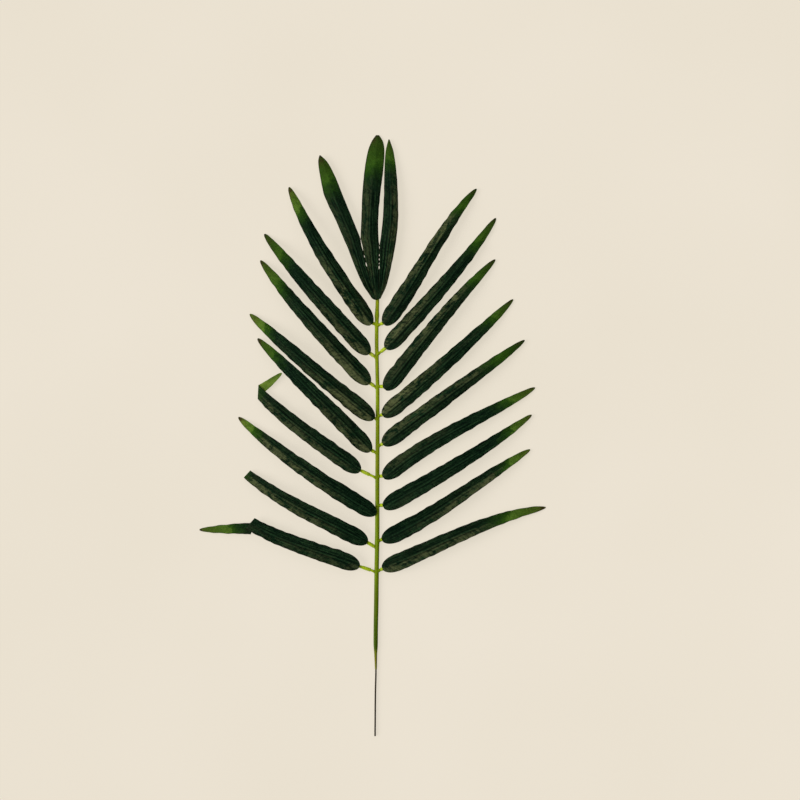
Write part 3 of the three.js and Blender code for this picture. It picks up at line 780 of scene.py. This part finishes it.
def cloth_face():
    """Dark green face with painted olive sheen on its lit half, a green tip that ends in brown,
    and dark cut edges.
    """
    finish, net, shader = new_finish("cloth_face", 0.5, 0.02)
    place = on_leaf(net)
    cloth = on_map(net, "cloth")
    strip_x, strip_y, _ = split(net, cloth)
    across, left, _ = split(net, on_map(net, "cut"))
    dye_and_sheen = {}
    for key in ("on_roll", "tip_light", "tip_reach", "worn_side", "bloom_near", "bloom_far"):
        dye_and_sheen[key] = add_node(net, "ShaderNodeAttribute", attribute_name=key).outputs["Fac"]

    # Each leaflet was cut from its own place on the roll, so no two have the same pattern.
    roll = add_node(net, "ShaderNodeVectorMath", operation="ADD")
    net.links.new(cloth, roll.inputs[0])
    net.links.new(dye_and_sheen["on_roll"], roll.inputs[1])
    roll = roll.outputs[0]

    fine = cloud(net, place, 420, 4, 0.6)
    middle = cloud(net, place, 150, 5, 0.64, 0.9)
    broad = cloud(net, place, 34, 2, 0.5)
    lengthwise = cloud(net, stretch(net, roll, (34, 9, 1)), 1.0, 3)
    veil = cloud(net, stretch(net, roll, (5, 16, 1)), 1.0, 5, 0.62, 0.8)

    # The dark body: green-black, with painted olive sheen in soft patches on the half that faces
    # the light.
    tone = add_up(net, (fine, 0.3), (lengthwise, 0.7))
    body = ramp(net, tone, *BODY_GREENS)
    slanted = add_node(net, "ShaderNodeMapping", Scale=(MAP_WIDTH, MAP_LENGTH, 1),
                       Rotation=(0, 0, CREASE_SLANT))
    net.links.new(roll, slanted.inputs["Vector"])
    creases = stretch(net, slanted.outputs["Vector"], (0.07, 0.19, 1))
    creases = cloud(net, creases, 1.0, 4, 0.6, 1.6)
    sheen_patch = add_up(net, (veil, 0.55), (broad, 0.15), (creases, 0.3))
    sheen_patch = ramp(net, sheen_patch, (0.44, 0.0), (0.56, 1.0))
    # Painted sheen: olive patches laid on the half of each leaflet that faces the light.
    lit_side_place = calc(net, "MULTIPLY", calc(net, "SUBTRACT", 0.5, across), dye_and_sheen["worn_side"])
    side = calc(net, "ADD", lit_side_place, 0.5)
    side = ramp(net, side, (0.42, 0.1), (0.56, 1.0))
    far = ramp(net, strip_y, (0.12, 0.0), (0.48, 1.0))
    gain = calc(net, "SUBTRACT", dye_and_sheen["bloom_far"], dye_and_sheen["bloom_near"])
    sheen_share = calc(net, "MULTIPLY_ADD", far, gain, dye_and_sheen["bloom_near"])
    sheen_patch = calc(net, "MULTIPLY", calc(net, "MULTIPLY", sheen_patch, side), sheen_share)
    body = blend_colours(net, sheen_patch, body, OLIVE_SHEEN)

    # Painted shade in short dents of the cloth.
    dents = stretch(net, slanted.outputs["Vector"], (0.16, 0.42, 1))
    dents = cloud(net, dents, 1.0, 3, 0.6, 1.2)
    dent_shade = ramp(net, dents, (0.53, 0.0), (0.66, 0.75))
    body = blend_colours(net, dent_shade, body, DENT_SHADE)

    # The tip: it fades from green into the dark body along a wandering line.
    wander = calc(net, "MULTIPLY_ADD", middle, 0.14, -0.07)
    skew = calc(net, "MULTIPLY_ADD", lit_side_place, -0.025, wander)
    from_tip = calc(net, "DIVIDE", calc(net, "ADD", left, skew), dye_and_sheen["tip_reach"])
    scaled = calc(net, "DIVIDE", from_tip, 2.0)
    light = ramp(net, scaled, *LIGHT_TIP)
    deep = ramp(net, scaled, *DEEP_TIP)
    tip = blend_colours(net, dye_and_sheen["tip_light"], deep, light)
    dull = calc(net, "MULTIPLY", fine, 0.35)
    tip = blend_colours(net, dull, tip, DULL_TIP)
    mottle = ramp(net, creases, (0.45, 0.0), (0.6, 0.3))
    tip = blend_colours(net, mottle, tip, CREASED_TIP)
    in_body = ramp(net, scaled, (0.44, 0.0), (0.72, 1.0))
    colour = blend_colours(net, in_body, tip, body)

    # Painted shade in the hollows beside the rib's ridge, a painted highlight on it, and the
    # scorched cut edge.
    off_middle = calc(net, "ABSOLUTE", calc(net, "SUBTRACT", strip_x, 0.5))
    hollow_shade = ramp(net, off_middle, (0.03, 0.0), (0.055, 0.7), (0.085, 0.6), (0.13, 0.0))
    worn = ramp(net, off_middle, (0.02, 0.3), (0.045, 0.0))
    with_rib = ramp(net, strip_y, (0.03, 0.0), (0.06, 1.0), (0.49, 1.0), (0.56, 0.0))
    hollow_shade = calc(net, "MULTIPLY", hollow_shade, with_rib)
    worn = calc(net, "MULTIPLY", worn, with_rib)
    colour = blend_colours(net, hollow_shade, colour, RIDGE_HOLLOW_SHADE)
    colour = blend_colours(net, worn, colour, RIDGE_HIGHLIGHT)
    off_centre = calc(net, "ABSOLUTE", calc(net, "SUBTRACT", across, 0.5))
    scorch = ramp(net, off_centre, (0.455, 0.0), (0.492, 0.75))
    colour = blend_colours(net, scorch, colour, SCORCHED)
    net.links.new(colour, shader.inputs["Base Color"])

    # The relief: fine pleats along the strip, the grain of the coating, creases and dents.
    dull = ramp(net, middle, (0.35, 0.58), (0.62, 0.4))
    net.links.new(dull, shader.inputs["Roughness"])
    pleats = add_node(net, "ShaderNodeTexWave", Scale=1.0, Distortion=0.6, Detail=1.0)
    net.links.new(stretch(net, cloth, (6.3, 0.4, 1)), pleats.inputs["Vector"])
    height = add_up(net, (pleats.outputs["Fac"], 0.3), (fine, 0.3), (creases, 2.0),
                    (veil, 1.0), (dents, 1.2))
    raise_bumps(net, shader, height, 0.0004)
    return finish


def cloth_back():
    """The uncoated back: yellow-green with the threads showing."""
    finish, net, shader = new_finish("cloth_back", 0.75, 0.2)
    place = on_leaf(net)
    cloth = on_map(net, "cloth")
    mottle = cloud(net, place, 110, 4, 0.6)
    body = ramp(net, mottle, (0.3, (76, 100, 22)), (0.5, (94, 118, 32)), (0.7, (116, 136, 50)))
    threads = add_node(net, "ShaderNodeTexWave", Scale=1.0, Distortion=0.3)
    net.links.new(stretch(net, cloth, (1, 60, 1)), threads.inputs["Vector"])
    shade = ramp(net, threads.outputs["Fac"], (0.0, 0.0), (1.0, 0.12))
    colour = blend_colours(net, shade, body, (60, 84, 24))
    net.links.new(colour, shader.inputs["Base Color"])
    raise_bumps(net, shader, threads.outputs["Fac"], 0.00006)
    return finish


def cloth_edge():
    """The cut edge, scorched brown by the hot die."""
    finish, net, shader = new_finish("cloth_edge", 0.7, 0.2)
    place = on_leaf(net)
    mottle = cloud(net, place, 300, 3, 0.6)
    colour = ramp(net, mottle, (0.35, (18, 18, 12)), (0.65, (44, 42, 22)))
    net.links.new(colour, shader.inputs["Base Color"])
    return finish


cloth_finishes = (cloth_face(), cloth_back(), cloth_edge())
for leaflet in leaflets:
    rows = cloth_rows(leaflet)

    def place(row, share, leaflet=leaflet, rows=rows):
        a, slant = rows[row]
        half = half_width(leaflet, a)
        seed = leaflet.phase + (20 if share > 0 else 0)
        nick = noise.noise(Vector((a / NIBBLE_LENGTH, seed, 0)))
        nibble = 1 + NIBBLE_SHARE * nick * smooth_step(8, 20, a)
        b = -leaflet.side * share * half * (1 + (nibble - 1) * share * share)
        along = a + b * math.tan(math.radians(slant))
        lift = cloth_relief(leaflet, along, b, half) + ridge(leaflet, along, b)
        return on_leaflet(leaflet, along, b, lift), (b, along, leaflet.cloth - along)

    strip = cloth_strip("cloth_" + leaflet.name, len(rows), CLOTH_COLUMNS, place)
    # The half that faces the light gets the painted sheen; leaflets that hang the other way turn
    # it round.
    note_dye_and_sheen(strip, on_roll=leaflet.phase, tip_light=leaflet.tip_light,
             tip_reach=leaflet.tip_reach / MAP_LENGTH,
             worn_side=-1 if leaflet.hang < -0.4 else 1,
             bloom_near=leaflet.bloom_near, bloom_far=leaflet.bloom_far)
    thicken(strip, cloth_finishes)
    if len(leaflet.folds) == 2:
        # The coating ran through to the back between the two folds, so it is dark there too.
        dark_from, dark_to = leaflet.folds[0][0] - 4, leaflet.folds[1][0] + 6
        cloth_map = strip.data.uv_layers["cloth"].data
        for face in strip.data.polygons:
            a = cloth_map[face.loop_start].uv.y * MAP_LENGTH
            if face.material_index == 1 and dark_from < a < dark_to:
                face.material_index = 0
    mount_piece(strip, "leaf_cloth", "leaflet_" + leaflet.name)
    widths = [2 * half_width(leaflet, a * leaflet.cloth / 200) * MM for a in range(201)]
    area = sum(widths) / len(widths) * leaflet.cloth * MM
    leaflet.sheet = (strip, (max(widths), leaflet.cloth * MM), area)

# ------------------------------
# Back ribs. Each is a thin strap of the same plastic, flat against the cloth and round below.
# Its thick end is a sleeve that is pushed over a peg, and it is glued along its leaflet.

RIB_WIDTH = 1.6
RIB_TIP_WIDTH = 0.9
RIB_THICKNESS = 0.9
RIB_SIDES = 12
RIB_STEPS = 60
RIB_FLAT_TOP = 0.75
RIB_BLUNT = 0.6
RIB_THINNING = 0.35
RIB_BEND_LENGTH = 9
SLEEVE_BORE_RADIUS = 1.36
SLEEVE_BORE_DEPTH = 6.5
SLEEVE_LENGTH = 9.0
SLEEVE_SHOULDER = 0.7
GLUE = 0.06

rib_plastic = plastic_finish(
    "rib_plastic", (146, 164, 14), (170, 190, 24), (188, 206, 48), (200, 208, 92),
    ((0.2, (240, 246, 226)), (1.0, (255, 255, 255))),
)


def sleeve_rings(root, way, radius, bore, length):
    """The sleeve from the bottom of its bore, out at its mouth and back along its outside."""
    shape = ((SLEEVE_BORE_DEPTH, bore), (0.2, bore), (0, bore + 0.1), (0, radius - 0.1),
             (0.2, radius), (length - 3, radius), (length - 1.8, radius * 0.98),
             (length - 0.8, radius * 0.95))
    return [(in_frame(*(root + way * out)), way, wide, wide, 1) for out, wide in shape]


def strap_rings(middle, thinning, shoulder=0.0):
    """A strap along a line of points, thick where it leaves its sleeve and blunt at its end."""
    rings = []
    for step, point in enumerate(middle):
        share = step / RIB_STEPS
        way = (middle[min(step + 1, RIB_STEPS)] - middle[max(step - 1, 0)]).normalized()
        thick = 1 - smooth_step(0.01, 0.08, share)
        wide = (RIB_WIDTH + (RIB_TIP_WIDTH - RIB_WIDTH) * share) / 2 + shoulder * thick
        high = RIB_THICKNESS / 2 * (1 - thinning * share) + shoulder * thick
        if step == RIB_STEPS:
            wide, high = wide * RIB_BLUNT, high * RIB_BLUNT
        rings.append((point, way, wide, high, RIB_FLAT_TOP))
    return rings


for leaflet in leaflets:
    mouth = leaflet.root + leaflet.peg * leaflet.sleeve_start
    rings = sleeve_rings(mouth, leaflet.peg, SLEEVE_RADIUS, SLEEVE_BORE_RADIUS, SLEEVE_LENGTH)
    peg_end = PEG_AIM - leaflet.peg_reach
    start = leaflet.sleeve_start + SLEEVE_LENGTH - 0.4 + peg_end
    bend_from = leaflet.sleeve_start + SLEEVE_BORE_DEPTH + 2 + peg_end
    below = CLOTH_THICKNESS / 2 + GLUE + RIB_THICKNESS / 2
    middle = []
    for step in range(RIB_STEPS + 1):
        place = start + (RIB_END - start) * step / RIB_STEPS
        lift = ridge(leaflet, place, 0) - below
        point = on_leaflet(leaflet, place, 0, lift)
        in_line = in_frame(*(leaflet.root + leaflet.peg * (place - peg_end)))
        bent = smooth_step(bend_from, bend_from + RIB_BEND_LENGTH, place)
        middle.append(in_line.lerp(point, bent))
    rings += strap_rings(middle, RIB_THINNING, SLEEVE_SHOULDER)
    rib = round_bar("rib_" + leaflet.name, RIB_SIDES, rings)
    smooth(rib, 45)
    rib.data.materials.append(rib_plastic)
    mount_piece(rib, "rib_plastic", "leaflet_" + leaflet.name + "_rib")
    strip, flat, area = leaflet.sheet

# ------------------------------
# Crown. It is one piece of the same cloth cut into three fingers. The cuts run down almost to
# the neck, where they close to a row of pinholes, and fine pleats fan out from the neck.

# Each finger's two edges, as (height above the wire's foot, left edge, right edge).
CROWN_FINGERS = (
    ((438, -5.4, -2), (450, -13.4, -5.4), (468, -21.8, -10.2), (490, -30.3, -15.4),
     (497, -33.5, -16.8), (516, -41.6, -24.4), (540, -52.8, -34.3), (560, -57.4, -42.6),
     (574, -59.3, -50.6), (580, -58.1, -56.9)),
    ((438, -2, 1), (450, -5.4, 1.2), (468, -10.2, 1.6), (490, -15.4, 2), (497, -16.8, 1.1),
     (516, -16.1, 0.7), (540, -15.3, 2.5), (564, -13.2, 5.4), (584, -9.8, 6.9), (594, -6, 5.5),
     (600.4, -1.6, 1.6)),
    ((438, 1, 3), (450, 1.2, 8.6), (468, 1.6, 13.3), (490, 2, 17.6), (497, 3, 18.7),
     (516, 5.2, 20.6), (540, 6.4, 20.4), (564, 6.9, 19), (584, 8.1, 16), (596, 10.9, 12.1)),
)
# Each slit is a row of gaps as (middle height, half length, half width) below its open end.
SLIT_ENDS = (497, 490)
SLIT_GAPS = (
    ((492, 6.5, 0.5), (480, 1.2, 0.38), (471.8, 1.9, 0.55)),
    ((489, 2, 0.3), (481.2, 1.3, 0.42), (477, 1.3, 0.46), (473, 1.1, 0.34), (469, 1.7, 0.55)),
)
CROWN_FOOT = 438.0
CROWN_LENGTH = 162.0
CROWN_TIP_HEIGHT = 1.6
CROWN_ARCH = 6.0
CROWN_FREE = 500.0
CROWN_COLUMNS = 33
CROWN_NECK_ROWS = 84
CROWN_TIP_ZONE = 8
WELD_DISTANCE = 0.00002

# The pleats at the neck and the drop of the cloth's lower edge where it passes the stem.
PLEAT_HEIGHT = 0.3
PLEATS = 5
NECK_DROP = 1.5
NECK_MIDDLE = -1.2
NECK_HALF = 4.2

# How far apart the fingers lie on the roll. Then how each took the dye: colour of the tip,
# length that it covers, and how much painted olive sheen it has.
FINGERS_APART = 7.3
CROWN_DYE_AND_SHEEN = ((0.15, 32, 0.2), (0.1, 36, 0.35), (0.2, 26, 0.4))


def crown_height(y):
    """Height of the crown's arched middle line over the table."""
    s = (y - CROWN_FOOT) / CROWN_LENGTH
    level = CLOTH_BASE_HEIGHT + (CROWN_TIP_HEIGHT - CLOTH_BASE_HEIGHT) * s
    return level + CROWN_ARCH * 4 * s * (1 - s)


def gap_half(cut, y):
    """Half the width of the pinhole between two fingers at a height, or nothing."""
    widest = 0.0
    for middle, reach, wide in SLIT_GAPS[cut]:
        off = (y - middle) / reach
        if abs(off) < 1:
            widest = max(widest, wide * math.sqrt(1 - off * off))
    return widest


fingers = []
for number, edges in enumerate(CROWN_FINGERS):
    tip = edges[-1][0]
    neck = CROWN_FREE - CROWN_FOOT
    heights = [CROWN_FOOT + neck * k / CROWN_NECK_ROWS for k in range(CROWN_NECK_ROWS + 1)]
    steps = round((tip - CROWN_FREE) / ROW_STEP)
    free = tip - CROWN_TIP_ZONE - CROWN_FREE
    heights += [CROWN_FREE + free * k / steps for k in range(1, steps + 1)]
    heights += [tip - left for left in TIP_ROWS if left < CROWN_TIP_ZONE - ROW_STEP]

    def place(row, share, edges=edges, heights=heights, number=number, tip=tip):
        y = heights[row]
        left, right = read_rows(edges, y, 1), read_rows(edges, y, 2)
        if number > 0 and y <= SLIT_ENDS[number - 1]:
            left += gap_half(number - 1, y)
        if number < 2 and y <= SLIT_ENDS[number]:
            right -= gap_half(number, y)
        half = (right - left) / 2
        b = share * half
        spread = smooth_step(470, 510, y)
        fall = (EDGE_FALL * abs(b) + EDGE_ROLL * b * b) * spread
        rise = PLEAT_HEIGHT * math.cos(share * math.pi * PLEATS)
        rise *= 1 - smooth_step(470, 530, y)
        rise *= smooth_step(CROWN_FOOT, CROWN_FOOT + 12, y)
        near_tip = smooth_step(0, 25, tip - y)
        ripple = 0.5 * share**2 * noise.noise(Vector((y / 13, number * 5, share))) * spread
        edge = 1 if number == 0 and share < 0 or number == 2 and share > 0 else spread
        nibble = 0.25 * share**4 * noise.noise(Vector((y / 7, number * 3, share))) * edge
        x = (left + right) / 2 + b + nibble * near_tip * (1 if share > 0 else -1)
        lift = rise + ripple * near_tip - fall
        off_stem = min(abs(x - NECK_MIDDLE) / NECK_HALF, 1)
        drop = NECK_DROP * (1 - off_stem**2)
        drop *= 1 - smooth_step(CROWN_FOOT, CROWN_FOOT + 7, y)
        y_cut = y - drop + 1.2 * smooth_step(tip - 40, tip, y)
        return in_frame(x, y_cut, crown_height(y) + lift), (b, y - CROWN_FOOT, tip - y)

    finger = cloth_strip(f"crown_finger_{number + 1}", len(heights), CROWN_COLUMNS, place)
    light, reach, sheen_share = CROWN_DYE_AND_SHEEN[number]
    # The crown fingers get the same painted olive sheen on their lit half.
    note_dye_and_sheen(finger, on_roll=FINGERS_APART * number, tip_light=light,
             tip_reach=reach / MAP_LENGTH, worn_side=-1 if number == 2 else 1,
             bloom_near=sheen_share, bloom_far=sheen_share)
    fingers.append(finger)

# The fingers are one piece of cloth, so they are joined where their lower edges meet.
pick(*fingers)
bpy.ops.object.join()
crown = fingers[0]
crown.name = "crown_cloth"
bpy.ops.object.mode_set(mode="EDIT")
bpy.ops.mesh.select_all(action="SELECT")
bpy.ops.mesh.remove_doubles(threshold=WELD_DISTANCE)
bpy.ops.object.mode_set(mode="OBJECT")
thicken(crown, cloth_finishes)
mount_piece(crown, "leaf_cloth", "crown")

# ------------------------------
# Crown rib. A sleeve on the stem's spigot carries three straps, one under each finger, moulded
# in one piece with it and glued to the back of the crown cloth.

CROWN_SLEEVE_START = 440.4
CROWN_SLEEVE_LENGTH = 8.5
CROWN_RIB_END = 545.0
CROWN_BORE_PLAY = 0.1
CROWN_RIB_THINNING = 0.3
MIDDLE_FINGER = 1

# How deep each finger's strap starts inside the closed end of the sleeve.
STRAP_SUNK = (1.6, 0.4, 1.6)

crown_sleeve = Vector((0, CROWN_SLEEVE_START, AXIS_HEIGHT))
straps = []
for number in (MIDDLE_FINGER, 0, 2):
    edges = CROWN_FINGERS[number]
    start = CROWN_SLEEVE_START + CROWN_SLEEVE_LENGTH - STRAP_SUNK[number]
    middle = []
    for step in range(RIB_STEPS + 1):
        y = start + (CROWN_RIB_END - start) * step / RIB_STEPS
        centre = (read_rows(edges, y, 1) + read_rows(edges, y, 2)) / 2
        centre *= smooth_step(start - 1, start + 26, y)
        below = CLOTH_THICKNESS / 2 + GLUE + RIB_THICKNESS / 2 + (0.25 if y < 520 else 0.1)
        rise = smooth_step(start, start + 9, y)
        height = AXIS_HEIGHT + 0.2 + (crown_height(y) - below - AXIS_HEIGHT - 0.2) * rise
        middle.append(in_frame(centre, y, height))
    rings = []
    if number == MIDDLE_FINGER:
        bore = SPIGOT_RADIUS + CROWN_BORE_PLAY
        rings = sleeve_rings(crown_sleeve, ALONG_STEM, SLEEVE_RADIUS, bore, CROWN_SLEEVE_LENGTH)
    rings += strap_rings(middle, CROWN_RIB_THINNING)
    straps.append(round_bar("strap", RIB_SIDES, rings))
crown_rib = straps[0]
crown_rib.name = "rib_crown"
fuse(crown_rib, straps[1])
fuse(crown_rib, straps[2])
smooth(crown_rib, 45)
crown_rib.data.materials.append(rib_plastic)
mount_piece(crown_rib, "rib_plastic", "crown_rib")

crown_area = 0.0
for edges in CROWN_FINGERS:
    for y in range(int(CROWN_FOOT), int(edges[-1][0])):
        crown_area += (read_rows(edges, y + 0.5, 2) - read_rows(edges, y + 0.5, 1)) * MM * MM

# ------------------------------
# Table. A smooth pale warm-grey board, wide enough that no edge of it shows. It glows a little,
# as painted light that fills in the shadows, so that the leaf throws almost no shadow on it.

TABLE_SIZE = 24
BOARD_SHARE = 0.22
BOARD_GLOW = 0.8

pick()
bpy.ops.mesh.primitive_plane_add(size=TABLE_SIZE)
table = bpy.context.active_object
table.name = "table"
board, net, shader = new_finish("board", 0.9, 0.1)
place = on_leaf(net)
shade = cloud(net, place, 3, 2, 0.5)
colour = ramp(net, shade, (0.3, (233, 224, 207)), (0.7, (236, 227, 211)))
dimmed = blend_colours(net, 1 - BOARD_SHARE, colour, (0, 0, 0))
net.links.new(dimmed, shader.inputs["Base Color"])
# Painted light: the board glows to fill in the leaf's shadows.
net.links.new(colour, shader.inputs["Emission Color"])
shader.inputs["Emission Strength"].default_value = BOARD_GLOW
table.data.materials.append(board)

# ------------------------------
# Light and camera. Two broad soft lamps stand to the left and overhead, the room fills the
# rest, and the camera looks straight down from far off through a long lens.

PICTURE_WIDTH = 0.8
CAMERA_LENS = 200.0
SENSOR_WIDTH = 36.0
LOOK_AT = in_frame(22.5, 336.5, 6.0)
ROOM_LIGHT = 0.19
ROOM_COLOUR = (1.0, 0.985, 0.96, 1)

# Each lamp's strength, its width in degrees and how it is turned.
LAMPS = {"lamp_left": (2.75, 40, (0, -54, 8)), "lamp_top": (0.9, 60, (-46, 0, 0))}

room = bpy.data.worlds.new("room")
room.use_nodes = True
backdrop = room.node_tree.nodes["Background"]
backdrop.inputs["Color"].default_value = ROOM_COLOUR
backdrop.inputs["Strength"].default_value = ROOM_LIGHT
bpy.context.scene.world = room

for name, (strength, angle, turn) in LAMPS.items():
    pick()
    bpy.ops.object.light_add(type="SUN", rotation=tuple(math.radians(v) for v in turn))
    lamp = bpy.context.active_object
    lamp.name = name
    lamp.data.energy = strength
    lamp.data.angle = math.radians(angle)

view_height = PICTURE_WIDTH * CAMERA_LENS / SENSOR_WIDTH
bpy.ops.object.camera_add(location=LOOK_AT + Vector((0, 0, view_height)), rotation=(0, 0, 0))
camera = bpy.context.active_object
camera.data.lens = CAMERA_LENS
camera.data.sensor_width = SENSOR_WIDTH
camera.data.clip_end = 100
bpy.context.scene.camera = camera
bpy.context.scene.view_settings.view_transform = "Standard"
